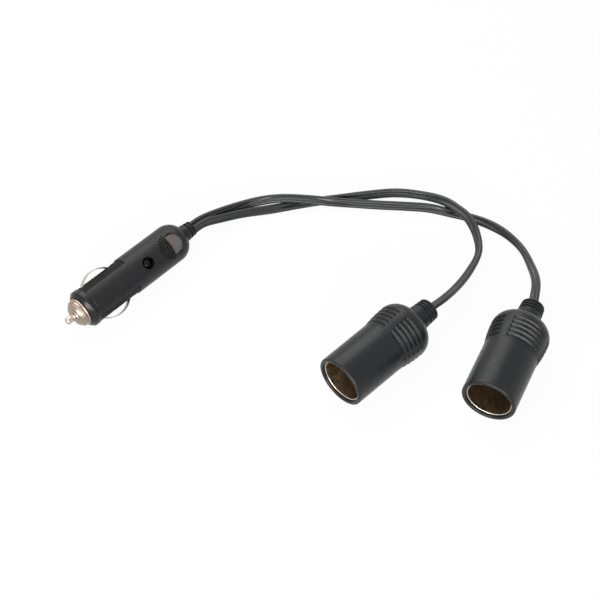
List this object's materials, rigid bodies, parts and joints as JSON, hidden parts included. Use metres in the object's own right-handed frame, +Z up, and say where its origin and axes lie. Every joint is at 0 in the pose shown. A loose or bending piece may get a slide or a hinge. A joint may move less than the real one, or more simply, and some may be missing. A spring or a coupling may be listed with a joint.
{
  "type": "car power socket splitter",
  "caption": "Fused accessory plug with sprung side contacts, an indicator window and flat leads to round line sockets with ribbed housings.",
  "frame": {"origin": "on the surface the part lies on, under the middle of the plug and the two sockets together, leads left out", "axes": "+Z up; the plug lies along X with its nose towards -X; the sockets lie towards -Y with their mouths towards -X"},
  "size_m": [0.2057, 0.2111, 0.0298],
  "materials": {
    "plug_shell": "satin moulded plastic, nearly black",
    "plug_shell_back": "satin moulded plastic, nearly black",
    "screw_steel": "zinc plated steel",
    "collar": "semi-gloss black plastic",
    "cap_plating": "bright nickel plating",
    "pin_plating": "bright nickel plating",
    "fuse_glass": "clear glass",
    "fuse_caps": "nickel plated brass",
    "fuse_wire": "tinned wire",
    "spring_steel": "spring steel wire",
    "brass_parts": "plain brass",
    "contact_plating": "nickel plated spring strip",
    "lamp_lens": "glossy dark lens",
    "resistor": "lacquered ceramic",
    "plug_relief_rubber": "matt black rubber",
    "core_red": "insulated wire",
    "core_black": "insulated wire",
    "lead_jacket": "matt black vinyl",
    "socket_housing": "soft satin moulded plastic, dark grey",
    "sleeve_plating": "bright nickel plating",
    "base_board": "dark brown laminate",
    "tab_steel": "tinned steel",
    "socket_relief_rubber": "matt black rubber"
  },
  "bodies": {
    "root": {"plug_shell_upper": "plug_shell", "plug_shell_lower": "plug_shell_back", "shell_screw": "screw_steel", "front_collar": "collar", "fuse_spring": "spring_steel", "spring_terminal": "brass_parts", "ground_bridge": "brass_parts", "indicator_led": "lamp_lens", "led_resistor": "resistor", "plug_strain_relief": "plug_relief_rubber", "plug_positive_cores": "core_red", "plug_negative_cores": "core_black", "lead_1": "lead_jacket", "lead_2": "lead_jacket", "socket_1_housing": "socket_housing", "socket_1_sleeve": "sleeve_plating", "socket_1_base": "base_board", "socket_1_centre_contact": "brass_parts", "socket_1_positive_tab": "brass_parts", "socket_1_negative_tab": "tab_steel", "socket_1_strain_relief": "socket_relief_rubber", "socket_1_cores": "core_black", "socket_2_housing": "socket_housing", "socket_2_sleeve": "sleeve_plating", "socket_2_base": "base_board", "socket_2_centre_contact": "brass_parts", "socket_2_positive_tab": "brass_parts", "socket_2_negative_tab": "tab_steel", "socket_2_strain_relief": "socket_relief_rubber", "socket_2_cores": "core_black"},
    "washer": {"cap_washer": "cap_plating"},
    "cap": {"nose_cap": "cap_plating"},
    "tip": {"centre_pin": "pin_plating", "fuse_glass": "fuse_glass", "fuse_end_caps": "fuse_caps", "fuse_element": "fuse_wire"},
    "contact_far": {"side_contact_far": "contact_plating"},
    "contact_near": {"side_contact_near": "contact_plating"}
  },
  "joints": [
    {"name": "cap_travel", "type": "slide", "parent": "root", "child": "washer", "axis": [-1, 0, 0], "range_m": [0, 0.004]},
    {"name": "cap_turn", "type": "hinge", "parent": "washer", "child": "cap", "pos_m": [-0.0724, 0.0945, 0.0105], "axis": [-1, 0, 0], "range_deg": [0, 1440]},
    {"name": "pin_press", "type": "slide", "parent": "washer", "child": "tip", "axis": [1, 0, 0], "range_m": [0, 0.0025], "stiffness_N_per_m": 2000, "deforming": ["fuse_spring"]},
    {"name": "contact_far_press", "type": "slide", "parent": "root", "child": "contact_far", "axis": [0, -0.7373, -0.6756], "range_m": [0, 0.0026], "stiffness_N_per_m": 3000},
    {"name": "contact_near_press", "type": "slide", "parent": "root", "child": "contact_near", "axis": [0, 0.7373, 0.6756], "range_m": [0, 0.0026], "stiffness_N_per_m": 3000}
  ],
  "couplings": [
    {"joint": "cap_turn", "follows": "cap_travel", "rad_per_m": 6283.2}
  ]
}
